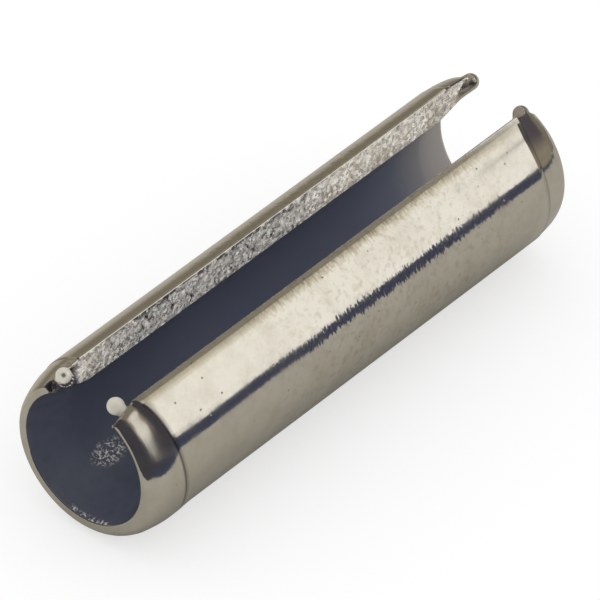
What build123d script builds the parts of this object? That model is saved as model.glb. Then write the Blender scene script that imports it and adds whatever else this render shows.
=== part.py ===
from build123d import *
import os
from dataclasses import dataclass
from math import sqrt

# Slotted roll pin of the heavy type, for an 8 mm hole: one strip of spring steel rolled
# into a C, with both ends swaged to ball-shaped noses so that they start in the hole.
# Millimetres. The pin's axis is X with its middle at the origin. The slot faces +Z, which
# is how the pin comes to rest on its side. The near end is at -X and the far end at +X.

# The rolled strip
pin_length = 30.0
outer_diameter = 8.8  # free diameter; the 8 mm hole closes it
wall = 1.5  # thickness of the strip
slot_width = 3.45  # gap between the two lips, the same through the whole wall

# The lips' outer edges. The shears entered the strip on the -Y lip's outer side and left
# it on the +Y lip's, so one edge is drawn over and the other is nearly sharp.
rolled_edge = 0.30
sheared_edge = 0.10

# The noses. Each is a zone of a ball a little smaller than the pin, pressed on slightly out
# of line, so that it ends in a low step at its crease. Nothing stands out of the free
# diameter, so the pin starts in its hole and lies on its straight wall.
near_ball_shrink = 0.03  # radius of the ball less than the pin's own
near_ball_inset = 2.00  # centre of the ball, in from the pin's end
near_ball_drop = 0.02  # centre of the ball below the pin's axis
near_crease_inset = 2.13  # crease on the pin's axis, in from the end
near_crease_tilt = 6.5  # degrees; the crease is nearest the end at the slot
far_ball_shrink = 0.03
far_ball_inset = 1.62
far_ball_drop = 0.01
far_crease_inset = 1.60
far_crease_tilt = -2.5

# The square-cut ends. The strip is thinned from inside towards them, so the bore flares.
near_face_width = 0.44  # width of the ring-shaped end face, across the strip's thinned edge
far_face_width = 0.58
mouth_flare_length = 2.40
rim_rounding = 0.12  # outer edge of an end face
mouth_rounding = 0.08  # inner edge of an end face

# The knobs: corners of the strip upset by the swaging, one on each lip at each end. A knob is
# a round-ended nib that grows out of its lip's wall. Its tip's centre is placed by three
# sizes: in from the pin's end, over the slot, and below the nose's surface.
near_rolled_knob = {"radius": 0.43, "inset": 0.68, "overhang": 0.375, "depth": 0.36}
near_sheared_knob = {"radius": 0.39, "inset": 0.60, "overhang": 0.02, "depth": 0.06}
far_rolled_knob = {"radius": 0.38, "inset": 0.47, "overhang": 0.175, "depth": 0.45}
far_sheared_knob = {"radius": 0.38, "inset": 0.15, "overhang": 0.00, "depth": 0.28}
knob_root_inset = 1.10  # middle of a nib's root, in from the pin's end
knob_root_cover = 0.08  # wall between a nib's root and the face of its lip

outer_radius = outer_diameter / 2
bore_radius = outer_radius - wall
slot_half = slot_width / 2
past = outer_diameter  # how far a cutting tool reaches beyond the pin

# Where the flank of the slot's cutter leaves a lip's rounding, in degrees short of the tangent
# point, so that it crosses the pin's surface cleanly
LIP_EXIT_ANGLE = 10.0

# The bottom of a cutting or added cylinder or cone stands at its origin
STANDING = (Align.CENTER, Align.CENTER, Align.MIN)


@dataclass
class End:
    """One end of the pin, which is a zone of its ball as far as the crease."""

    side: int
    ball_shrink: float
    ball_inset: float
    ball_drop: float
    crease_inset: float
    crease_tilt: float
    face_width: float

    def x(self, inset):
        """The place on the pin's axis that lies so far in from this end."""
        return self.side * (pin_length / 2 - inset)

    def ball_radius(self):
        """The radius of the ball that the nose is a zone of."""
        return outer_radius - self.ball_shrink

    def nose_radius(self, inset):
        """The radius of the ball's section so far in from this end."""
        return sqrt(self.ball_radius() ** 2 - (self.ball_inset - inset) ** 2)

    def mouth_radius(self):
        """The inner radius of the end face."""
        return self.nose_radius(0) - self.face_width


near = End(-1, near_ball_shrink, near_ball_inset, near_ball_drop,
           near_crease_inset, near_crease_tilt, near_face_width)
far = End(1, far_ball_shrink, far_ball_inset, far_ball_drop,
          far_crease_inset, far_crease_tilt, far_face_width)


def nose_ball(end):
    """The ball that an end's nose is a zone of."""
    return Pos(end.x(end.ball_inset), 0, -end.ball_drop) * Sphere(end.ball_radius())


def beyond_crease(end):
    """The block on the end's side of its crease, where the nose replaces the straight wall."""
    crease = Pos(end.x(end.crease_inset), 0, 0) * Rot(0, end.side * end.crease_tilt, 0)
    return crease * Pos(end.side * past / 2, 0, 0) * Box(past, 3 * past, 3 * past)


def end_face_edges(solid, *radii):
    """The circles in the end faces, all of them or those of the given radii."""
    circles = solid.edges().filter_by(GeomType.CIRCLE)
    ends = circles.filter_by(lambda e: abs(abs(e.center().X) - pin_length / 2) < 1e-4)
    if not radii:
        return ends
    return ends.filter_by(lambda e: any(abs(e.radius - radius) < 1e-4 for radius in radii))


def swaged_blank():
    """The solid outer form: a cylinder between the creases, a ball's zone at each end."""
    blank = Rot(0, 90, 0) * Cylinder(outer_radius, pin_length)
    for end in (near, far):
        blank = blank - beyond_crease(end) + nose_ball(end)
    blank &= Box(pin_length, 3 * past, 3 * past)
    return fillet(end_face_edges(blank), rim_rounding)


def bored(blank):
    """The blank with its bore, flared at both mouths."""
    tube = blank - Rot(0, 90, 0) * Cylinder(bore_radius, pin_length + past)
    for end in (near, far):
        inwards = Pos(end.x(0), 0, 0) * Rot(0, -90 * end.side, 0)
        tube -= inwards * Cone(end.mouth_radius(), bore_radius, mouth_flare_length, align=STANDING)
    return fillet(end_face_edges(tube, near.mouth_radius(), far.mouth_radius()), mouth_rounding)


def lip_flank(side, rounding):
    """One side of the slot's cutter in Y and Z, from inside the bore to clear of the pin: up
    the lip's flat face, round its outer edge and out across the pin's surface."""
    centre_y = slot_half + rounding
    centre_z = sqrt((outer_radius - rounding) ** 2 - centre_y**2)
    centre = Vector(side * centre_y, centre_z)
    across = Vector(side, 0)
    outwards = centre.normalized().rotate(Axis.Z, side * LIP_EXIT_ANGLE)
    face = Line((side * slot_half, 0), centre - across * rounding)
    middle = centre + (outwards - across).normalized() * rounding
    edge = ThreePointArc(face @ 1, middle, centre + outwards * rounding)
    clear = Line(edge @ 1, edge @ 1 + outwards.rotate(Axis.Z, -side * 90) * past)
    return Curve() + [face, edge, clear]


def slot_cutter():
    """The slot with its rounded lips, the full length of the pin."""
    rolled = lip_flank(-1, rolled_edge)
    sheared = lip_flank(1, sheared_edge)
    above = Vector(0, 2 * past)
    floor = Line((-slot_half, 0), (slot_half, 0))
    top = Polyline(rolled @ 1, (rolled @ 1) + above, (sheared @ 1) + above, sheared @ 1)
    section = make_face([*rolled.edges(), *sheared.edges(), *floor.edges(), *top.edges()])
    across_pin = Plane(origin=(-pin_length, 0, 0), x_dir=(0, 1, 0), z_dir=(1, 0, 0))
    return extrude(across_pin * section, 2 * pin_length)


def knob(end, lip, radius, inset, overhang, depth):
    """One knob, on the lip at -Y or +Y, from its root in the wall to its tip by the slot."""
    tip_y = slot_half - overhang
    tip_z = sqrt((end.nose_radius(inset) - depth) ** 2 - tip_y**2) - end.ball_drop
    root_y = slot_half + knob_root_cover + radius
    root_z = sqrt((outer_radius - wall / 2) ** 2 - root_y**2)
    tip = Vector(end.x(inset), lip * tip_y, tip_z)
    root = Vector(end.x(knob_root_inset), lip * root_y, root_z)
    nib = Plane(origin=root, z_dir=tip - root) * Cylinder(radius, (tip - root).length, align=STANDING)
    return nib + Pos(*tip) * Sphere(radius)


def roll_pin():
    """The whole pin, one solid."""
    pin = bored(swaged_blank()) - slot_cutter()
    pin += knob(near, -1, **near_rolled_knob)
    pin += knob(near, 1, **near_sheared_knob)
    pin += knob(far, -1, **far_rolled_knob)
    pin += knob(far, 1, **far_sheared_knob)
    return pin


os.makedirs("parts", exist_ok=True)
export_step(roll_pin(), "parts/roll_pin.step")
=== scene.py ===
import math
import bmesh
import bpy
from mathutils import Matrix, Vector
from mathutils.geometry import intersect_point_line


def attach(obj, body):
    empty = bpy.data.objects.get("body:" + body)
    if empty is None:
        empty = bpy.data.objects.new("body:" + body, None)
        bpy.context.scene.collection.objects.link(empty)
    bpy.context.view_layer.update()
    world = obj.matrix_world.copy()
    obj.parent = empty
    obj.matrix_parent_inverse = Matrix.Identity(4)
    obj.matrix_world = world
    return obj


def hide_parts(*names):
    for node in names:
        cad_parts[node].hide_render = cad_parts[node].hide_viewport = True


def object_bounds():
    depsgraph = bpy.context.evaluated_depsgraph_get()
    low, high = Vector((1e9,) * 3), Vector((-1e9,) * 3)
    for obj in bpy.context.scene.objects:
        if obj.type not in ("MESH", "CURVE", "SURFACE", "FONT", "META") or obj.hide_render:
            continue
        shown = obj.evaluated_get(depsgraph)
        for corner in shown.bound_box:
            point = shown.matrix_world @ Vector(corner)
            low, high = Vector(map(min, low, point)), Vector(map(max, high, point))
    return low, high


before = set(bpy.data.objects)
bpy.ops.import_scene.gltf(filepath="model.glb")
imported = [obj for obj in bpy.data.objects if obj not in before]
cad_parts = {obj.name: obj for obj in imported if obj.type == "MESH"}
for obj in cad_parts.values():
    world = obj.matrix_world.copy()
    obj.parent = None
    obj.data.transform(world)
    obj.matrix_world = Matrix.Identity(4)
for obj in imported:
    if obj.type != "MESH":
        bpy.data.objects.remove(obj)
cad_box = [list(corner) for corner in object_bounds()]

# A slotted roll pin for an 8 mm hole, lying on its side with the slot up. Sizes are in
# millimetres until a piece is finished. X runs along the pin, and an end is -1 for the near
# one, at -X, or 1 for the far one. A turn round the pin is in degrees from the middle of the
# slot, +Z, towards -Y. An inset is how far in from an end something lies.
MM = 0.001
HALF_LENGTH = round(-cad_box[0][0] / MM, 3)
OUTER = round(-cad_box[0][2] / MM, 3)  # radius of the straight wall
BORE = 2.9  # radius of the bore between the flares
SLOT_HALF = 1.725
FLOOR_Z = -OUTER


def linear(hex_colour):
    """An sRGB hex colour as the linear numbers that a shader takes."""
    parts = [int(hex_colour[i:i + 2], 16) / 255 for i in (1, 3, 5)]
    return [c / 12.92 if c <= 0.04045 else ((c + 0.055) / 1.055) ** 2.4 for c in parts] + [1.0]


def smooth_step(low, high, value):
    """0 below low, 1 above high, and a smooth run between them."""
    t = min(1.0, max(0.0, (value - low) / (high - low)))
    return t * t * (3 - 2 * t)


def between(low, high, value, edge):
    """1 between low and high, fading to 0 over the edge outside them."""
    return smooth_step(low - edge, low, value) * (1 - smooth_step(high, high + edge, value))


def crowded(t, share):
    """The share t of a way, moved so that even steps of it crowd towards both ends."""
    return t - share * math.sin(2 * math.pi * t) / (2 * math.pi)


def curve_at(points, x):
    """The height at x of a line through a few points."""
    for (x0, y0), (x1, y1) in zip(points, points[1:]):
        if x <= x1:
            return y0 + (y1 - y0) * (x - x0) / (x1 - x0)
    return points[-1][1]


# The noses' profiles as inset and outer radius. The near nose is fullest low on the -Y side and
# leanest across from there, where the swage pressed harder. By the -Y lip it is hollow, and the
# far nose's rim is a little leaner.
NEAR_FULL = [(0.0, 3.84), (0.05, 3.93), (0.12, 4.01), (0.26, 4.12), (0.45, 4.22), (0.70, 4.31),
             (1.00, 4.362), (1.35, 4.39), (1.75, 4.40), (2.7, 4.395)]
NEAR_LEAN = [(0.0, 3.78), (0.05, 3.86), (0.12, 3.91), (0.30, 3.99), (0.59, 4.10), (0.92, 4.20),
             (1.25, 4.28), (1.61, 4.335), (1.85, 4.355), (2.7, 4.36)]
NEAR_HOLLOW = [(0.0, 3.64), (0.05, 3.70), (0.12, 3.765), (0.22, 3.845), (0.34, 3.925), (0.45, 3.98),
               (0.57, 4.012), (0.72, 4.036), (0.90, 4.062), (1.06, 4.09), (1.20, 4.122), (1.34, 4.163),
               (1.46, 4.205), (1.58, 4.255), (1.70, 4.316), (1.80, 4.365), (1.86, 4.388), (1.92, 4.40),
               (2.7, 4.40)]
FAR_NOSE = [(0.0, 3.99), (0.05, 4.07), (0.15, 4.13), (0.29, 4.19), (0.54, 4.26), (0.80, 4.305),
            (1.10, 4.34), (1.60, 4.382), (2.2, 4.40)]
LEANEST_TURN = -52
HOLLOW_SINKS = (20, 34)  # turns over which the hollow begins
HOLLOW_RISES = (52, 88)  # turns over which it ends
FAR_LEAN = 0.08
FAR_LEAN_ENDS = (24, 50)  # turns over which the far rim's leaner stretch ends
FAR_LEAN_DEPTH = (0.1, 0.7)  # insets over which it runs out

# The creases, by end: inset at the pin's axis, how much further in they are at the slot, and
# how many degrees wide the curl is that brings them towards the end beside the -Y lip
CREASE = {-1: 2.13, 1: 1.56}
CREASE_SWING = {-1: -0.50, 1: 0.27}
CURL_WIDTH = {-1: 7.5, 1: 12.0}
CURL = 0.8  # how far it brings them at the lip
LIP_TURN = 23
CURL_END = 120
CREASE_STEP = 0.05  # length of the step up from a nose to the straight wall

# The mouths, by end: inner radius of the end face, and the flare from there to the bore
MOUTH = {-1: 3.446, 1: 3.479}
MOUTH_ROUND = 0.08
FLARE = 2.40
FLARE_CURVE = 0.85  # below 1, the flare narrows fastest at the mouth

# The bead that the swage pushed up low on the -Y side of the near end, highest at a turn of
# 135: how far it stands out, the insets between which it does, and how far it slopes beyond
BEAD_HEIGHT = 0.065
BEAD_TOP = (2.1, 2.2)
BEAD_SLOPE = 1.3

# The lips' edges. Shearing drew the outer edge of the -Y lip over and left the other sharp.
OUTER_EDGES = (0.30, 0.09)
INNER_EDGES = (0.05, 0.05)

# The knobs, where the swage upset the strip's corners: tip, root in the wall, radius, how far
# down the ball its neck starts, and how rough it was torn
KNOBS = [((-14.32, -1.35, 3.542), (-13.90, -2.235, 2.886), 0.43, 0.75, 1.0),
         ((-14.40, 1.705, 3.689), (-13.90, 2.195, 2.916), 0.39, 0.5, 1.0),
         ((14.53, -1.59, 3.40), (13.90, -2.185, 2.924), 0.42, 0.0, 0.12),
         ((14.79, 1.70, 3.44), (13.90, 2.185, 2.924), 0.43, 0.0, 0.12)]

# Where the swage pushed the strip in or out beside the knobs: centre, reach and push. First the
# pocket under the near +Y knob and the rim beside it, then the far +Y lip's end, bent towards
# the slot, and last the far -Y lip's.
PUSHES = [((-13.80, 1.725, 3.30), 0.62, (0.0, 0.26, 0.0)),
          ((-15.00, 2.05, 3.25), 0.36, (0.14, 0.0, -0.04)),
          ((15.00, 1.85, 3.50), 0.95, (0.0, -0.17, 0.02)),
          ((14.90, 1.90, 3.95), 0.70, (0.06, 0.0, 0.08)),
          ((14.75, -1.95, 3.70), 0.55, (0.0, 0.05, 0.06))]
DIMPLE = ((-14.63, 1.52, 3.94), 0.19, (0.09, 0.07, -0.10))

# Spots of painted shade: the dimple, the rim beside that knob, and the far +Y knob's end. Centre, and
# the radii within which a spot is fully dark and beyond which it is gone.
SPOTS = [((-14.57, 1.57, 3.88), 0.06, 0.15),
         ((-15.00, 1.98, 3.22), 0.22, 0.42),
         ((14.64, 1.42, 3.62), 0.12, 0.27)]

# The strip's mesh: rings along it, columns round it and rows through its wall
NOSE_STEPS = 40
WALL_STEPS = 60
LAST_RING = 2 * NOSE_STEPS + WALL_STEPS + 1
MOUTH_STEPS = 5
COLUMNS = 200
EDGE_COLUMNS = 6
WALL_ROWS = 8
RIM_CROWDING = 1.3  # above 1, a nose's rings crowd towards its rim
WALL_CROWDING = 0.6  # share by which the wall's rings crowd towards the noses
LIP_CROWDING = 0.72  # share by which the columns crowd towards the lips

# The knobs are blended into the strip: how far from a knob the skin is smoothed, and how often
BLEND_REACH = 0.16
BLEND_ROUNDS = 6
SHARP_EDGE = 34  # degrees from which an edge of the skin isn't shaded smooth


def crease_inset(end, turn):
    """The inset of a nose's crease at a turn round the pin."""
    curl = CURL * math.exp(-(turn - LIP_TURN) / CURL_WIDTH[end]) if turn < CURL_END else 0.0
    return CREASE[end] + CREASE_SWING[end] * math.cos(math.radians(turn)) - curl


def bead(inset, turn):
    """How far the swage's bead stands out."""
    if not 90 < turn < 180:
        return 0.0
    return BEAD_HEIGHT * between(*BEAD_TOP, inset, BEAD_SLOPE) * math.sin(math.radians(2 * turn)) ** 2


def nose_radius(end, inset, turn):
    """The outer radius of a nose at an inset and a turn round the pin."""
    if end > 0:
        beside_lip = 1 - smooth_step(*FAR_LEAN_ENDS, turn)
        at_rim = 1 - smooth_step(*FAR_LEAN_DEPTH, inset)
        return curve_at(FAR_NOSE, inset) - FAR_LEAN * beside_lip * at_rim
    full = 0.5 - 0.5 * math.cos(math.radians(turn - LEANEST_TURN))
    plain = full * curve_at(NEAR_FULL, inset) + (1 - full) * curve_at(NEAR_LEAN, inset)
    # The hollow's profile is drawn out or in, so that it climbs back to the wall at the crease.
    lands = [(0.0, 0.0), (1.15, 1.20), (max(1.3, crease_inset(-1, turn)), 1.92), (9.0, 2.7)]
    pressed = curve_at(NEAR_HOLLOW, curve_at(lands, inset))
    hollow = smooth_step(*HOLLOW_SINKS, turn) * (1 - smooth_step(*HOLLOW_RISES, turn))
    return (1 - hollow) * plain + hollow * pressed + bead(inset, turn)


def outer_ring(ring, turn):
    """X and radius of a ring of the outer surface, counted from the near rim."""
    near, far = crease_inset(-1, turn), crease_inset(1, turn)
    if ring <= NOSE_STEPS:
        inset = near * (ring / NOSE_STEPS) ** RIM_CROWDING
        return -HALF_LENGTH + inset, nose_radius(-1, inset, turn)
    if ring > NOSE_STEPS + WALL_STEPS:
        inset = far * ((LAST_RING - ring) / NOSE_STEPS) ** RIM_CROWDING
        return HALF_LENGTH - inset, nose_radius(1, inset, turn)
    start = -HALF_LENGTH + near + CREASE_STEP
    stop = HALF_LENGTH - far - CREASE_STEP
    t = crowded((ring - NOSE_STEPS - 1) / (WALL_STEPS - 1), WALL_CROWDING)
    x = start + (stop - start) * t
    return x, OUTER + bead(x + HALF_LENGTH, turn)


def inner_ring(ring):
    """X and radius of the ring of the bore that lies opposite that outer ring."""
    end = -1 if ring <= NOSE_STEPS + WALL_STEPS // 2 else 1
    step = ring if end < 0 else LAST_RING - ring
    if step <= MOUTH_STEPS:
        swing = math.pi / 2 * step / MOUTH_STEPS
        inset = MOUTH_ROUND * (1 - math.cos(swing))
        return end * (HALF_LENGTH - inset), MOUTH[end] + MOUTH_ROUND * (1 - math.sin(swing))
    if step <= NOSE_STEPS:
        t = (step - MOUTH_STEPS) / (NOSE_STEPS - MOUTH_STEPS)
        inset = MOUTH_ROUND + (FLARE - MOUTH_ROUND) * t
        return end * (HALF_LENGTH - inset), MOUTH[end] + (BORE - MOUTH[end]) * t ** FLARE_CURVE
    t = crowded((ring - NOSE_STEPS) / (WALL_STEPS + 1), WALL_CROWDING)
    return (HALF_LENGTH - FLARE) * (2 * t - 1), BORE


def strip_section(radius, column, edges, inside):
    """Y and Z of a column of the strip's section at this radius. The first and last columns
    are on the lips' flat faces, and the next few go round the lips' edges."""
    grow = 1 if inside else -1
    tangents = [math.asin((SLOT_HALF + edge) / (radius + grow * edge)) for edge in edges]
    step = min(column, COLUMNS - column)
    if step >= EDGE_COLUMNS:
        t = crowded((column - EDGE_COLUMNS) / (COLUMNS - 2 * EDGE_COLUMNS), LIP_CROWDING)
        turn = tangents[0] + (2 * math.pi - tangents[0] - tangents[1]) * t
        return -radius * math.sin(turn), radius * math.cos(turn)
    lip = 0 if column < COLUMNS / 2 else 1
    finish = (1.5 if inside else 0.5) * math.pi - tangents[lip]
    angle = math.pi + (finish - math.pi) * step / EDGE_COLUMNS
    y = SLOT_HALF + edges[lip] * (1 + math.cos(angle))
    z = (radius + grow * edges[lip]) * math.cos(tangents[lip]) + edges[lip] * math.sin(angle)
    return (y if lip else -y), z


def turn_of(y, z):
    """The turn round the pin of a place in its section, from 0 to 360 degrees."""
    return math.degrees(math.atan2(-y, z)) % 360


TURNS = [turn_of(*strip_section(OUTER, column, OUTER_EDGES, False)) for column in range(COLUMNS + 1)]


def pushed(point, pushes):
    """The point after the pushes that reach it."""
    for centre, reach, push in pushes:
        away = (point - Vector(centre)).length / reach
        if away < 1:
            point = point + Vector(push) * (1 - away**2) ** 2
    return point


def place(ring, column, depth):
    """The point of the strip at a ring and column, from 0 at the outer face to 1 at the bore."""
    x, radius = outer_ring(ring, TURNS[column])
    y, z = strip_section(radius, column, OUTER_EDGES, False)
    outer = Vector((x, y, z))
    x, radius = inner_ring(ring)
    y, z = strip_section(radius, column, INNER_EDGES, True)
    return pushed(outer.lerp(Vector((x, y, z)), depth), PUSHES)


def rolled_strip():
    """The strip, spun from the profile of its wall and then moved onto its true section."""
    # The profile counts rings along X, between radius 2 for the outer face and 1 for the bore.
    bm = bmesh.new()
    outer = [bm.verts.new((ring, 0, 2)) for ring in range(LAST_RING + 1)]
    inner = [bm.verts.new((ring, 0, 1)) for ring in range(LAST_RING + 1)]
    profile = outer + inner[::-1]
    for a, b in zip(profile, profile[1:] + profile[:1]):
        bm.edges.new((a, b))
    spread = math.radians(350)
    bmesh.ops.spin(bm, geom=bm.verts[:] + bm.edges[:], cent=(0, 0, 0), axis=(1, 0, 0),
                   angle=spread, steps=COLUMNS, use_merge=False, use_duplicate=False)

    def column_of(v):
        return round((math.atan2(-v.co.y, v.co.z) % (2 * math.pi)) / spread * COLUMNS)

    def rings_apart(edge):
        return abs(edge.verts[0].co.x - edge.verts[1].co.x)

    # Each lip's face joins the chains of edges that the spin left open along it.
    for lip in (0, COLUMNS):
        chains = [e for e in bm.edges
                  if e.is_boundary and rings_apart(e) > 0.5 and column_of(e.verts[0]) == lip]
        bmesh.ops.bridge_loops(bm, edges=chains)
    through = [e for e in bm.edges
               if abs(e.verts[0].co.length - e.verts[1].co.length) > 1e-4 and rings_apart(e) < 0.5]
    bmesh.ops.subdivide_edges(bm, edges=through, cuts=WALL_ROWS - 1, use_grid_fill=True)
    for v in bm.verts:
        depth = 2 - math.hypot(v.co.y, v.co.z)
        v.co = place(round(v.co.x), column_of(v), min(1.0, max(0.0, depth)))
    bmesh.ops.recalc_face_normals(bm, faces=bm.faces[:])
    return bm


def knobs():
    """The four knobs, each a ball whose lower part is drawn down as a neck into the wall."""
    bm = bmesh.new()
    for tip, root, radius, neck_start, _ in KNOBS:
        ball = bmesh.ops.create_uvsphere(bm, u_segments=40, v_segments=26, radius=radius)["verts"]
        neck = Vector(root) - Vector(tip)
        lower = [v for v in ball if v.co.z < -0.01 - neck_start * radius]
        bmesh.ops.translate(bm, verts=lower, vec=(0, 0, -neck.length))
        turned = Vector((0, 0, -1)).rotation_difference(neck).to_matrix()
        bmesh.ops.rotate(bm, verts=ball, cent=(0, 0, 0), matrix=turned)
        bmesh.ops.translate(bm, verts=ball, vec=tip)
    return bm


def nearest_knob(point):
    """How far a point is from the nearest knob's surface."""
    distances = []
    for tip, root, radius, _, _ in KNOBS:
        nearest, along = intersect_point_line(point, Vector(tip), Vector(root))
        nearest = Vector(tip) if along < 0 else Vector(root) if along > 1 else nearest
        distances.append((point - nearest).length - radius)
    return min(distances)


def joined(bm, other):
    """One closed skin round both meshes."""
    pieces = []
    for mesh_in in (bm, other):
        mesh = bpy.data.meshes.new("part")
        mesh_in.to_mesh(mesh)
        mesh_in.free()
        piece = bpy.data.objects.new("part", mesh)
        bpy.context.scene.collection.objects.link(piece)
        pieces.append(piece)
    union = pieces[0].modifiers.new("union", "BOOLEAN")
    union.operation = "UNION"
    union.solver = "EXACT"
    union.object = pieces[1]
    evaluated = pieces[0].evaluated_get(bpy.context.evaluated_depsgraph_get())
    skin = bmesh.new()
    skin.from_mesh(evaluated.data)
    for piece in pieces:
        bpy.data.meshes.remove(piece.data)
    return skin


def finished(bm, name, *materials):
    """The piece made of this mesh, in metres."""
    bmesh.ops.scale(bm, verts=bm.verts[:], vec=(MM, MM, MM))
    mesh = bpy.data.meshes.new(name)
    bm.to_mesh(mesh)
    bm.free()
    piece = bpy.data.objects.new(name, mesh)
    bpy.context.scene.collection.objects.link(piece)
    for material in materials:
        mesh.materials.append(material)
    return piece


# The marks, which the finishes read from the skin's points: where each lies in insets and turns
SATIN_INSETS = (0.1, 1.8)
SATIN_TURNS = (24, 66)
RUBBED_FADE = (0.08, 0.34)
RUBBED_TURNS = (158, 192)
POCKET_FADE = (-13.62, -13.30)  # X up to which the pocket's painted shade is full, and where it ends
POCKET_SLANT = 0.20
POCKET_HEIGHT = 3.3
KNOB_FADE = 0.12
KNOB_CLEAN = 0.06


def knob_mark(point):
    """How rough a knob was torn, fading to 0 just beside its ball."""
    return max(torn * (1 - smooth_step(0.0, KNOB_FADE, (point - Vector(tip)).length - radius))
               for tip, _, radius, _, torn in KNOBS)


def satin_mark(point):
    """1 in the near nose's hollow, where the swage left the strip less bright."""
    inset = HALF_LENGTH + point.x
    turn = turn_of(point.y, point.z)
    return between(*SATIN_INSETS, inset, 0.15) * between(*SATIN_TURNS, turn, 6)


def rubbed_mark(point):
    """1 on the inner edge of the near mouth, low on the +Y side, where the plating was rubbed."""
    inset = HALF_LENGTH + point.x
    turn = turn_of(point.y, point.z)
    return (1 - smooth_step(*RUBBED_FADE, inset)) * between(*RUBBED_TURNS, turn, 9)


def painted_shade_mark(point):
    """1 where shade is painted: the spots, the pocket by the near +Y knob and a crease's bottom."""
    spot = max(1 - smooth_step(full, gone, (point - Vector(centre)).length)
               for centre, full, gone in SPOTS)
    on_knob = nearest_knob(point) < KNOB_CLEAN
    on_lips = abs(point.y) < 2.3 and point.z > 1.8
    below_outer_edge = 0 < point.y < 2.1 and math.hypot(point.y, point.z) < 4.12
    if on_lips and below_outer_edge and not on_knob:
        slant = POCKET_SLANT * (point.z - POCKET_HEIGHT)
        return max(spot, 1 - smooth_step(*POCKET_FADE, point.x + slant))
    if on_knob or on_lips or point.y > 0:
        return spot
    end = -1 if point.x < 0 else 1
    short = crease_inset(end, turn_of(point.y, point.z)) - (HALF_LENGTH - end * point.x)
    return between(0.0, 0.03, short, 0.10) * (1.0 if end < 0 else 0.5)


# The finishes. A pattern's scale is 1000 over its size in millimetres.

def add_node(tree, kind, links=None, **settings):
    """A node with its settings, and with values or other nodes' outputs on its inputs."""
    node = tree.nodes.new(kind)
    for key, value in settings.items():
        setattr(node, key, value)
    for key, value in (links or {}).items():
        if isinstance(value, bpy.types.NodeSocket):
            tree.links.new(value, node.inputs[key])
        else:
            node.inputs[key].default_value = value
    return node


def new_finish(name):
    """A new material, its node tree and its shader."""
    material = bpy.data.materials.new(name)
    material.use_nodes = True
    tree = material.node_tree
    shader = tree.nodes["Principled BSDF"]
    return material, tree, shader


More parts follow.
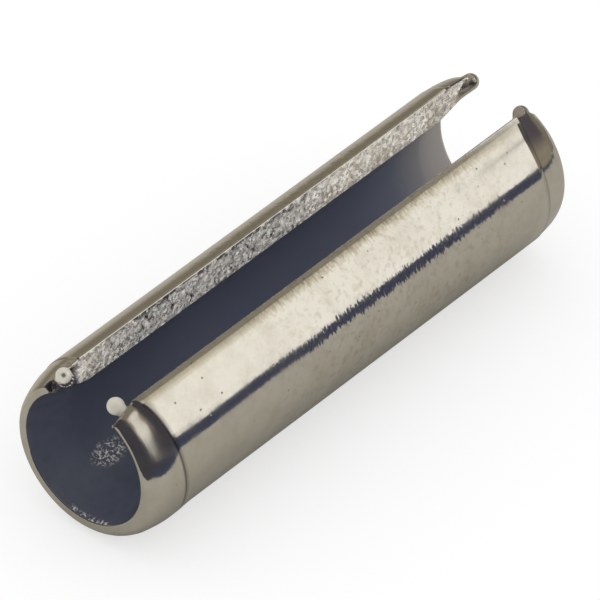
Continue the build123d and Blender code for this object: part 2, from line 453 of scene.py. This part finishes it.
def nickelled_steel():
    """Bright nickel on cold-rolled spring strip: a warm near-mirror, with the fine cross
    streaks of the bending, the strip's pits, a clouded patch here and there, and painted
    shade in the pits, the pocket, the spots and the crease bottoms."""
    material, tree, shader = new_finish("nickelled_spring_steel")
    here = add_node(tree, "ShaderNodeTexCoord").outputs["Object"]
    facing = add_node(tree, "ShaderNodeNewGeometry").outputs["Normal"]

    # The streaks are 0.11 mm wide along the pin and 0.35 mm long round it. They tip the surface
    # by 2 degrees or so, most of all 2.5 mm beyond the pin's middle, and slow waves sway it.
    across = add_node(tree, "ShaderNodeMapping",
                      {"Vector": here, "Scale": (1000 / 0.11, 1000 / 0.35, 1000 / 0.35)})
    streaks = add_node(tree, "ShaderNodeTexNoise",
                       {"Vector": across.outputs[0], "Scale": 1.0, "Detail": 2.0, "Roughness": 0.6})
    waves = add_node(tree, "ShaderNodeTexNoise", {"Vector": here, "Scale": 1000 / 2.4, "Detail": 1.0})
    apart = add_node(tree, "ShaderNodeSeparateXYZ", {"Vector": here})
    middle = add_node(tree, "ShaderNodeMath", {0: apart.outputs["X"], 1: 2.5 * MM}, operation="SUBTRACT")
    middle = add_node(tree, "ShaderNodeMath", {0: middle.outputs[0]}, operation="ABSOLUTE")
    middle = add_node(tree, "ShaderNodeMapRange",
                      {0: middle.outputs[0], 1: 3 * MM, 2: 11.5 * MM, 3: 1.0, 4: 0.12},
                      interpolation_type="SMOOTHSTEP")
    tip = add_node(tree, "ShaderNodeMath", {0: streaks.outputs[0], 1: 0.5}, operation="SUBTRACT")
    tip = add_node(tree, "ShaderNodeMath", {0: tip.outputs[0], 1: middle.outputs[0]},
                   operation="MULTIPLY")
    sway = add_node(tree, "ShaderNodeMath", {0: waves.outputs[0], 1: 0.5}, operation="SUBTRACT")
    sway = add_node(tree, "ShaderNodeMath", {0: sway.outputs[0], 1: 0.035}, operation="MULTIPLY")
    tip = add_node(tree, "ShaderNodeMath", {0: tip.outputs[0], 1: 0.20, 2: sway.outputs[0]},
                   operation="MULTIPLY_ADD")
    round_pin = add_node(tree, "ShaderNodeVectorMath", {0: facing, 1: (1, 0, 0)},
                         operation="CROSS_PRODUCT")
    tipped = add_node(tree, "ShaderNodeVectorMath",
                      {0: round_pin.outputs[0], "Scale": tip.outputs[0]}, operation="SCALE")
    tipped = add_node(tree, "ShaderNodeVectorMath", {0: facing, 1: tipped.outputs[0]}, operation="ADD")
    tipped = add_node(tree, "ShaderNodeVectorMath", {0: tipped.outputs[0]}, operation="NORMALIZE")

    # Pits 0.08 mm across and 0.01 mm deep, in about a quarter of cells 0.5 mm wide, with painted shade
    cells = add_node(tree, "ShaderNodeTexVoronoi", {"Vector": here, "Scale": 1000 / 0.5})
    pits = add_node(tree, "ShaderNodeMapRange",
                    {0: cells.outputs["Distance"], 1: 0.05, 2: 0.12, 3: 1.0, 4: 0.0})
    some = add_node(tree, "ShaderNodeSeparateXYZ", {"Vector": cells.outputs["Color"]})
    some = add_node(tree, "ShaderNodeMath", {0: some.outputs["X"], 1: 0.72}, operation="GREATER_THAN")
    pits = add_node(tree, "ShaderNodeMath", {0: pits.outputs[0], 1: some.outputs[0]},
                    operation="MULTIPLY")
    dents = add_node(tree, "ShaderNodeBump",
                     {"Height": pits.outputs[0], "Distance": 0.01 * MM, "Strength": 1.0,
                      "Normal": tipped.outputs[0]}, invert=True)

    # The torn knobs have a grain of 0.1 mm.
    grain = add_node(tree, "ShaderNodeTexNoise", {"Vector": here, "Scale": 1000 / 0.10, "Detail": 2.0})
    knob = add_node(tree, "ShaderNodeAttribute", attribute_name="knob").outputs["Fac"]
    rough_knob = add_node(tree, "ShaderNodeBump",
                          {"Height": grain.outputs[0], "Distance": 0.012 * MM, "Strength": knob,
                           "Normal": dents.outputs[0]})
    tree.links.new(rough_knob.outputs[0], shader.inputs["Normal"])

    # Clouds 1.3 mm across, where the nickel is duller and a little browner
    clouds = add_node(tree, "ShaderNodeTexNoise",
                      {"Vector": here, "Scale": 1000 / 1.3, "Detail": 5.0, "Roughness": 0.65})
    cloud = add_node(tree, "ShaderNodeMapRange", {0: clouds.outputs[0], 1: 0.42, 2: 0.70})
    # Smaller stains, 0.3 mm across, mostly where the streaks are
    stains = add_node(tree, "ShaderNodeTexNoise", {"Vector": here, "Scale": 1000 / 0.30, "Detail": 3.0})
    stain = add_node(tree, "ShaderNodeMapRange", {0: stains.outputs[0], 1: 0.50, 2: 0.72})
    stain = add_node(tree, "ShaderNodeMath", {0: stain.outputs[0], 1: middle.outputs[0]},
                     operation="MULTIPLY")
    tone = add_node(tree, "ShaderNodeMix",
                    {0: cloud.outputs[0], 6: linear("#E6E0D2"), 7: linear("#DBD4C5")},
                    data_type="RGBA")
    tone = add_node(tree, "ShaderNodeMix",
                    {0: stain.outputs[0], 6: tone.outputs[2], 7: linear("#CFC7B6")},
                    data_type="RGBA")
    # The knobs are paler, the near nose's hollow is duller, and painted shade darkens pits and marks.
    painted_shade = add_node(tree, "ShaderNodeAttribute", attribute_name="painted_shade").outputs["Fac"]
    dark = add_node(tree, "ShaderNodeMath", {0: painted_shade, 1: 0.8}, operation="MULTIPLY")
    dark = add_node(tree, "ShaderNodeMath", {0: pits.outputs[0], 1: 0.45, 2: dark.outputs[0]},
                    operation="MULTIPLY_ADD", use_clamp=True)
    tone = add_node(tree, "ShaderNodeMix", {0: knob, 6: tone.outputs[2], 7: linear("#EDE8DA")},
                    data_type="RGBA")
    hollow = add_node(tree, "ShaderNodeAttribute", attribute_name="satin").outputs["Fac"]
    duller = add_node(tree, "ShaderNodeMath", {0: hollow, 1: 0.6}, operation="MULTIPLY")
    tone = add_node(tree, "ShaderNodeMix",
                    {0: duller.outputs[0], 6: tone.outputs[2], 7: linear("#C9C2B4")},
                    data_type="RGBA")
    tone = add_node(tree, "ShaderNodeMix",
                    {0: dark.outputs[0], 6: tone.outputs[2], 7: linear("#4E4945")},
                    data_type="RGBA")
    tree.links.new(tone.outputs[2], shader.inputs["Base Color"])
    dull = add_node(tree, "ShaderNodeMapRange", {0: cloud.outputs[0], 3: 0.09, 4: 0.15})
    dull = add_node(tree, "ShaderNodeMath", {0: knob, 1: 0.32, 2: dull.outputs[0]},
                    operation="MULTIPLY_ADD")
    dull = add_node(tree, "ShaderNodeMath", {0: hollow, 1: 0.13, 2: dull.outputs[0]},
                    operation="MULTIPLY_ADD")
    tree.links.new(dull.outputs[0], shader.inputs["Roughness"])
    satin = add_node(tree, "ShaderNodeMapRange", {0: knob, 3: 1.0, 4: 0.35})
    tree.links.new(satin.outputs[0], shader.inputs["Metallic"])
    return material


# The bare patch in the bore, low and 3.5 mm in from the near end, whose pale crystals also paint
# a bright reflection there: its centre, and its reach along each axis
PATCH_CENTRE = (-11.5, 1.35, -2.5)
PATCH_REACH = (1.15, 0.62, 0.62)


def bore_with_painted_shade():
    """The inside of the strip, painted dark blue-grey for the shade inside the tube, slightly
    grained, with bare crystals at one spot, which also paint a bright reflection, and a rubbed mouth."""
    material, tree, shader = new_finish("bore_with_painted_shade")
    here = add_node(tree, "ShaderNodeTexCoord").outputs["Object"]
    apart = add_node(tree, "ShaderNodeSeparateXYZ", {"Vector": here})
    # The painted shade is deepest at the near mouth, where more light gets in, and paler further in, so
    # the bore looks evenly dark; it has a grain of 0.6 mm.
    grain = add_node(tree, "ShaderNodeTexNoise", {"Vector": here, "Scale": 1000 / 0.6, "Detail": 4.0})
    paler = add_node(tree, "ShaderNodeMapRange",
                     {0: apart.outputs["X"], 1: -15 * MM, 2: -4 * MM, 3: -0.1, 4: 0.9})
    paler = add_node(tree, "ShaderNodeMath", {0: grain.outputs[0], 1: 0.25, 2: paler.outputs[0]},
                     operation="MULTIPLY_ADD", use_clamp=True)
    tone = add_node(tree, "ShaderNodeMix",
                    {0: paler.outputs[0], 6: linear("#474B58"), 7: linear("#72788B")},
                    data_type="RGBA")

    # Bare crystals, 0.16 mm across, in the patch, where they also paint a reflection, and on the rubbed
    # edge
    patch = add_node(tree, "ShaderNodeMapping",
                     {"Vector": here,
                      "Location": [-centre / reach for centre, reach in zip(PATCH_CENTRE, PATCH_REACH)],
                      "Scale": [1000 / reach for reach in PATCH_REACH]})
    patch = add_node(tree, "ShaderNodeVectorMath", {0: patch.outputs[0]}, operation="LENGTH")
    patch = add_node(tree, "ShaderNodeMapRange",
                     {0: patch.outputs["Value"], 1: 0.55, 2: 1.1, 3: 1.0, 4: 0.0})
    crystals = add_node(tree, "ShaderNodeTexNoise",
                        {"Vector": here, "Scale": 1000 / 0.16, "Detail": 2.0, "Roughness": 0.7})
    bright = add_node(tree, "ShaderNodeMapRange", {0: crystals.outputs[0], 1: 0.50, 2: 0.60})
    rubbed = add_node(tree, "ShaderNodeAttribute", attribute_name="rubbed").outputs["Fac"]
    patch = add_node(tree, "ShaderNodeMath", {0: patch.outputs[0], 1: rubbed}, operation="MAXIMUM")
    bare_and_painted_glint = add_node(tree, "ShaderNodeMath", {0: bright.outputs[0], 1: patch.outputs[0]},
                    operation="MULTIPLY")
    tone = add_node(tree, "ShaderNodeMix",
                    {0: bare_and_painted_glint.outputs[0], 6: tone.outputs[2], 7: linear("#F2EEEA")},
                    data_type="RGBA")
    # The painted shade fades to grey towards the far mouth.
    far_mouth_fade = add_node(tree, "ShaderNodeMapRange",
                      {0: apart.outputs["X"], 1: 10.5 * MM, 2: 13.5 * MM, 3: 0.0, 4: 0.8})
    tone = add_node(tree, "ShaderNodeMix",
                    {0: far_mouth_fade.outputs[0], 6: tone.outputs[2], 7: linear("#A8A098")},
                    data_type="RGBA")
    tree.links.new(tone.outputs[2], shader.inputs["Base Color"])
    dents = add_node(tree, "ShaderNodeBump",
                     {"Height": crystals.outputs[0], "Distance": 0.04 * MM,
                      "Strength": patch.outputs[0]})
    tree.links.new(dents.outputs[0], shader.inputs["Normal"])
    shine = add_node(tree, "ShaderNodeMapRange", {0: bare_and_painted_glint.outputs[0], 3: 0.0, 4: 0.35})
    tree.links.new(shine.outputs[0], shader.inputs["Metallic"])
    shader.inputs["Roughness"].default_value = 0.42
    return material


def sheared_lip():
    """The strip's sheared edges, plated over: torn crystals that sparkle, with painted shade in the
    pits between them, darkest in a row of notches just under the outer edge, which are painted
    shade only."""
    material, tree, shader = new_finish("sheared_lip")
    here = add_node(tree, "ShaderNodeTexCoord").outputs["Object"]
    facing = add_node(tree, "ShaderNodeNewGeometry").outputs["Normal"]
    apart = add_node(tree, "ShaderNodeSeparateXYZ", {"Vector": here})
    # The tear is coarsest 4.5 mm short of the pin's middle, and calmer towards both ends.
    coarse = add_node(tree, "ShaderNodeMath", {0: apart.outputs["X"], 1: 4.5 * MM}, operation="ADD")
    coarse = add_node(tree, "ShaderNodeMath", {0: coarse.outputs[0]}, operation="ABSOLUTE")
    coarse = add_node(tree, "ShaderNodeMapRange",
                      {0: coarse.outputs[0], 1: 4 * MM, 2: 10.5 * MM, 3: 1.0, 4: 0.3},
                      interpolation_type="SMOOTHSTEP")

    # Crystals 0.16 mm across, each tipped its own way and mostly up, on a torn ground
    crystals = add_node(tree, "ShaderNodeTexVoronoi", {"Vector": here, "Scale": 1000 / 0.16})
    own_way = add_node(tree, "ShaderNodeVectorMath",
                       {0: crystals.outputs["Color"], 1: (0.5, 0.5, 0.5)}, operation="SUBTRACT")
    lean = add_node(tree, "ShaderNodeMath", {0: coarse.outputs[0], 1: 1.1}, operation="MULTIPLY")
    own_way = add_node(tree, "ShaderNodeVectorMath",
                       {0: own_way.outputs[0], "Scale": lean.outputs[0]}, operation="SCALE")
    tipped = add_node(tree, "ShaderNodeVectorMath", {0: facing, 1: own_way.outputs[0]},
                      operation="ADD")
    tipped = add_node(tree, "ShaderNodeVectorMath", {0: tipped.outputs[0], 1: (0, 0, 0.70)},
                      operation="ADD")
    tipped = add_node(tree, "ShaderNodeVectorMath", {0: tipped.outputs[0]}, operation="NORMALIZE")
    torn = add_node(tree, "ShaderNodeTexNoise",
                    {"Vector": here, "Scale": 1000 / 0.35, "Detail": 5.0, "Roughness": 0.75,
                     "Distortion": 0.6})
    dents = add_node(tree, "ShaderNodeBump",
                     {"Height": torn.outputs[0], "Distance": 0.06 * MM, "Strength": coarse.outputs[0],
                      "Normal": tipped.outputs[0]})
    tree.links.new(dents.outputs[0], shader.inputs["Normal"])

    # Painted shade in the pits of the torn ground, where it lies low, and towards the ends only soft
    # blotches 1 mm across
    pits = add_node(tree, "ShaderNodeMapRange", {0: torn.outputs[0], 1: 0.37, 2: 0.50})
    tone = add_node(tree, "ShaderNodeMix",
                    {0: pits.outputs[0], 6: linear("#4A4540"), 7: linear("#FFFCF6")},
                    data_type="RGBA")
    blotches = add_node(tree, "ShaderNodeTexNoise", {"Vector": here, "Scale": 1000 / 1.0, "Detail": 2.0})
    blotch = add_node(tree, "ShaderNodeMapRange", {0: blotches.outputs[0], 1: 0.35, 2: 0.65})
    soft = add_node(tree, "ShaderNodeMix",
                    {0: blotch.outputs[0], 6: linear("#D6CDBE"), 7: linear("#FBF7EE")},
                    data_type="RGBA")
    calm = add_node(tree, "ShaderNodeMapRange",
                    {0: coarse.outputs[0], 1: 0.3, 2: 0.9, 3: 0.85, 4: 0.0})
    tone = add_node(tree, "ShaderNodeMix",
                    {0: calm.outputs[0], 6: tone.outputs[2], 7: soft.outputs[2]},
                    data_type="RGBA")

    # Painted shade for a row of notches, 0.3 mm wide, from 3.95 mm off the axis to the outer edge
    flat = add_node(tree, "ShaderNodeCombineXYZ", {"Y": apart.outputs["Y"], "Z": apart.outputs["Z"]})
    from_axis = add_node(tree, "ShaderNodeVectorMath", {0: flat.outputs[0]}, operation="LENGTH")
    row = add_node(tree, "ShaderNodeMapRange",
                   {0: from_axis.outputs["Value"], 1: 3.95 * MM, 2: 4.2 * MM})
    notch_shade_noise = add_node(tree, "ShaderNodeTexNoise", {"Vector": here, "Scale": 1000 / 0.30, "Detail": 2.0})
    painted_notch_shade = add_node(tree, "ShaderNodeMapRange",
                     {0: notch_shade_noise.outputs[0], 1: 0.44, 2: 0.56, 3: 0.0, 4: 0.85})
    painted_notch_shade = add_node(tree, "ShaderNodeMath", {0: painted_notch_shade.outputs[0], 1: row.outputs[0]},
                     operation="MULTIPLY")
    painted_notch_shade = add_node(tree, "ShaderNodeMath", {0: painted_notch_shade.outputs[0], 1: coarse.outputs[0]},
                     operation="MULTIPLY")
    # Painted shade in the pocket by the near +Y knob, joined to the notches' painted shade
    painted_shade = add_node(tree, "ShaderNodeAttribute", attribute_name="painted_shade").outputs["Fac"]
    dark = add_node(tree, "ShaderNodeMath", {0: painted_shade, 1: painted_notch_shade.outputs[0]}, operation="MAXIMUM")
    tone = add_node(tree, "ShaderNodeMix",
                    {0: dark.outputs[0], 6: tone.outputs[2], 7: linear("#45434F")},
                    data_type="RGBA")
    tree.links.new(tone.outputs[2], shader.inputs["Base Color"])
    shader.inputs["Metallic"].default_value = 0.70
    shader.inputs["Roughness"].default_value = 0.24
    return material


# The pin's finishes, in the order of its materials, and where they meet; the bore's is painted shade
NICKELLED, BORE_PAINTED, SHEARED = range(3)
KNOB_NICKEL = 0.05  # how far a knob's nickel reaches round it
LIP_FACE_TOP = 4.38  # radius at which a lip's face gives way to its outer edge
BORE_PAINTED_WITHIN = 3.45  # radius of the mouths, beyond which the bore has no painted shade
TEAR_END = (14.2, 3.83)  # X and Z of a place on the slanted line where the tear stops
TEAR_SLANT = 0.37


def finish_of(face):
    """Which finish a face of the skin has. The nickel covers what isn't bore or lip."""
    centre = face.calc_center_median()
    radius = math.hypot(centre.y, centre.z)
    if nearest_knob(centre) < KNOB_NICKEL:
        return NICKELLED
    by_slot = centre.z > 0 and abs(abs(centre.y) - SLOT_HALF) < 0.3
    if by_slot and abs(face.normal.y) > 0.8 and radius < LIP_FACE_TOP:
        # The tear stops a little short of the far end.
        tear_stop = TEAR_END[0] + TEAR_SLANT * (TEAR_END[1] - centre.z)
        return SHEARED if centre.x < tear_stop else NICKELLED
    faces_axis = face.normal.dot(Vector((0, -centre.y, -centre.z))) > 0
    return BORE_PAINTED if faces_axis and radius < BORE_PAINTED_WITHIN else NICKELLED


skin = joined(rolled_strip(), knobs())
blend = [v for v in skin.verts if nearest_knob(v.co) < BLEND_REACH]
for _ in range(BLEND_ROUNDS):
    bmesh.ops.smooth_vert(skin, verts=blend, factor=0.5,
                          use_axis_x=True, use_axis_y=True, use_axis_z=True)
for v in skin.verts:
    v.co = pushed(v.co, [DIMPLE])
for face in skin.faces:
    face.smooth = True
    face.material_index = finish_of(face)
# The marks that the finishes read; the one for dark places is painted shade
marks = {"knob": knob_mark, "painted_shade": painted_shade_mark, "satin": satin_mark, "rubbed": rubbed_mark}
values = {name: [mark(v.co) for v in skin.verts] for name, mark in marks.items()}
pin = finished(skin, "pin", nickelled_steel(), bore_with_painted_shade(), sheared_lip())
for name in marks:
    pin.data.attributes.new(name, "FLOAT", "POINT").data.foreach_set("value", values[name])
pin.data.set_sharp_from_angle(angle=math.radians(SHARP_EDGE))
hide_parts("roll_pin")
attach(pin, "root")


# The studio

def stage_finish(name, colour, emission=0.0):
    """A matt colour, or one that glows by itself."""
    material = bpy.data.materials.new(name)
    material.use_nodes = True
    tree = material.node_tree
    tree.nodes.clear()
    if emission:
        shader = add_node(tree, "ShaderNodeEmission", {"Color": linear(colour), "Strength": emission})
    else:
        shader = add_node(tree, "ShaderNodeBsdfDiffuse", {"Color": linear(colour)})
    add_node(tree, "ShaderNodeOutputMaterial", {"Surface": shader.outputs[0]})
    return material


def fading_finish(name, axis, near_edge, far_edge, near_colour, far_colour):
    """A glowing colour that fades to another along an axis, between two places in mm."""
    material = stage_finish(name, near_colour, 1.0)
    tree = material.node_tree
    here = add_node(tree, "ShaderNodeTexCoord").outputs["Object"]
    apart = add_node(tree, "ShaderNodeSeparateXYZ", {"Vector": here})
    fade = add_node(tree, "ShaderNodeMapRange",
                    {0: apart.outputs[axis], 1: near_edge * MM, 2: far_edge * MM},
                    interpolation_type="SMOOTHSTEP")
    shade = add_node(tree, "ShaderNodeMix",
                     {0: fade.outputs[0], 6: linear(near_colour), 7: linear(far_colour)},
                     data_type="RGBA")
    tree.links.new(shade.outputs[2], tree.nodes["Emission"].inputs["Color"])
    return material


def seen_rays(tree):
    """1 for the rays that show the background: the camera's, and those off metal or glass."""
    path = add_node(tree, "ShaderNodeLightPath")
    seen = add_node(tree, "ShaderNodeMath",
                    {0: path.outputs["Is Camera Ray"], 1: path.outputs["Is Glossy Ray"]},
                    operation="MAXIMUM")
    seen = add_node(tree, "ShaderNodeMath",
                    {0: seen.outputs[0], 1: path.outputs["Is Transmission Ray"]},
                    operation="MAXIMUM")
    return seen.outputs[0]


def floor_paper():
    """White paper. What the camera sees of it is half its own white, so that the pin's shadow
    on it stays soft."""
    material = bpy.data.materials.new("floor_paper")
    material.use_nodes = True
    tree = material.node_tree
    tree.nodes.clear()
    lit = add_node(tree, "ShaderNodeBsdfDiffuse", {"Color": linear("#F4F4F4")})
    half_lit = add_node(tree, "ShaderNodeBsdfDiffuse", {"Color": linear("#AAAAAA")})
    white = add_node(tree, "ShaderNodeEmission", {"Color": linear("#FFFFFF"), "Strength": 0.62})
    shown = add_node(tree, "ShaderNodeAddShader", {0: half_lit.outputs[0], 1: white.outputs[0]})
    both = add_node(tree, "ShaderNodeMixShader",
                    {0: seen_rays(tree), 1: lit.outputs[0], 2: shown.outputs[0]})
    add_node(tree, "ShaderNodeOutputMaterial", {"Surface": both.outputs[0]})
    return material


def flat_card(name, size, matrix, material):
    """A flat card of this size, turned and placed by the matrix."""
    bm = bmesh.new()
    bmesh.ops.create_grid(bm, x_segments=1, y_segments=1, size=0.5)
    bmesh.ops.scale(bm, verts=bm.verts[:], vec=(size[0], size[1], 1))
    bmesh.ops.transform(bm, verts=bm.verts[:], matrix=matrix)
    return finished(bm, name, material)


def reflections_only(card):
    """Leaves the card to reflections, so that it neither shows, lights nor shades anything."""
    card.visible_camera = False
    card.visible_diffuse = False
    card.visible_shadow = False


def curved_card(name, distance, turns, along, material, skew=0.0):
    """A card bent round the pin's axis, which only reflections see. Its last edge is shifted
    along X by the skew."""
    steps = 24
    bm = bmesh.new()
    ends = [bm.verts.new((x, 0, distance)) for x in along]
    bm.edges.new(ends)
    bmesh.ops.rotate(bm, verts=bm.verts[:], matrix=Matrix.Rotation(math.radians(turns[0]), 3, "X"))
    bmesh.ops.spin(bm, geom=bm.verts[:] + bm.edges[:], cent=(0, 0, 0), axis=(1, 0, 0),
                   dvec=(skew / steps, 0, 0), angle=math.radians(turns[1] - turns[0]), steps=steps)
    reflections_only(finished(bm, name, material))


floor = flat_card("floor", (4000, 4000), Matrix.Translation((0, 0, FLOOR_Z)), floor_paper())

# What the bright metal mirrors. The pin lies on a grey table, with ground behind it that
# darkens away and dark ground before it.
DARK = "#43475E"
SHADE = "#43434F"
TAN = "#8F877B"
CLOTH = "#7F796F"
ABOVE_FLOOR = 0.02  # keeps the cards clear of the paper
table = flat_card("grey_table", (300, 60), Matrix.Translation((0, -20, FLOOR_Z + ABOVE_FLOOR)),
                  stage_finish("grey_table", "#B0AEA9"))
reflections_only(table)
behind = flat_card("ground_behind", (900, 400), Matrix.Translation((0, 210, FLOOR_Z + ABOVE_FLOOR)),
                   fading_finish("ground_behind", "Y", 10, 48, "#B9B4A9", CLOTH))
reflections_only(behind)
before = flat_card("ground_before", (900, 400), Matrix.Translation((0, -250, FLOOR_Z + ABOVE_FLOOR / 2)),
                   stage_finish("ground_before", DARK, 1.0))
reflections_only(before)

# Over the pin stands a white tent, which is the world's own white. A dark slit runs just above
# the ground on the -Y side, and gives the dark line along the pin.
TENT = 110  # distance of its cloths from the pin's axis
curved_card("slit_cloth", TENT, (82.7, 91.0), (30, 106), stage_finish("slit_cloth", DARK, 1.0))
curved_card("slit_cloth_near", TENT, (84, 91.0), (-400, 30),
            stage_finish("slit_cloth_near", DARK, 1.0))

# Three cards leave the near nose's hollow only a leaf-shaped gap of the white to mirror.
curved_card("leaf_shade", TENT, (46, 84), (-400, -12),
            fading_finish("leaf_shade", "Z", 38, 78, SHADE, TAN), skew=50)
curved_card("leaf_end", TENT, (77, 84), (28, 62), stage_finish("leaf_end", SHADE, 1.0))
curved_card("leaf_edge", TENT, (18, 46), (-30, 8), stage_finish("leaf_edge", TAN, 1.0))

# A cloth over the slot gives the lips and the pin's top their tan. Its hem pales in three
# steps, so that the bright band starts softly.
OVER_PIN = (-160, 97)
curved_card("slot_cloth", TENT, (-80, 20), OVER_PIN, stage_finish("slot_cloth", "#8C877D", 1.0))
for low, high, colour in ((20, 24, "#A9A498"), (24, 28, "#CAC5BA"), (28, 32, "#E6E2D8")):
    name = "tent_hem_" + str(low)
    curved_card(name, TENT, (low, high), OVER_PIN, stage_finish(name, colour, 1.0))

# A hood closes the tent's far end, low walls close the +Y side, and a cloth stands across each
# end, for the rims and noses to mirror.
WALL_FROM_AXIS = 120
LOW_ON_SIDE = (-91, -79)
curved_card("far_hood", TENT, (-80, 91), (106, 200),
            fading_finish("far_hood", "Z", 25, 80, "#8F887C", "#54505A"))
curved_card("side_cloth", WALL_FROM_AXIS, LOW_ON_SIDE, (50, 300),
            stage_finish("side_cloth", CLOTH, 1.0))
curved_card("side_wall", WALL_FROM_AXIS, LOW_ON_SIDE, (-400, 50),
            stage_finish("side_wall", "#979188", 1.0))
upright = Matrix.Rotation(math.radians(90), 4, "Y")
near_cloth = flat_card("near_cloth", (300, 740), Matrix.Translation((-32, -330, 146)) @ upright,
                       fading_finish("near_cloth", "Z", 36, 100, SHADE, "#938B80"))
reflections_only(near_cloth)
far_cloth = flat_card("far_cloth", (175, 340), Matrix.Translation((200, 0, 83)) @ upright,
                      fading_finish("far_cloth", "Z", 20, 120, "#827C73", "#5F5C57"))
reflections_only(far_cloth)

# The tent's white, which also lights the paper and the pin
world = bpy.data.worlds.new("studio")
bpy.context.scene.world = world
world.use_nodes = True
background = world.node_tree.nodes["Background"]
background.inputs["Color"].default_value = linear("#FFFFFF")
background.inputs["Strength"].default_value = 1.0

# The camera looks down at the near end and the -Y side, from 0.45 m away.
CAMERA_PLACE = (-267.54, -215.67, 285.0)
camera = bpy.data.cameras.new("camera")
camera.lens = 577.0
camera.sensor_width = 36.0
camera.clip_start = 0.01
camera.clip_end = 20.0
viewer = bpy.data.objects.new("camera", camera)
bpy.context.scene.collection.objects.link(viewer)
forward = Vector((0.59976, 0.48277, -0.63814))
right = Vector((0.64273, -0.76570, 0.02480))
up = Vector((0.47665, 0.42503, 0.76952))
turned = Matrix((right, up, -forward)).transposed().to_4x4()
viewer.matrix_world = Matrix.Translation(Vector(CAMERA_PLACE) * MM) @ turned
bpy.context.scene.camera = viewer

scene = bpy.context.scene
scene.view_settings.view_transform = "Standard"
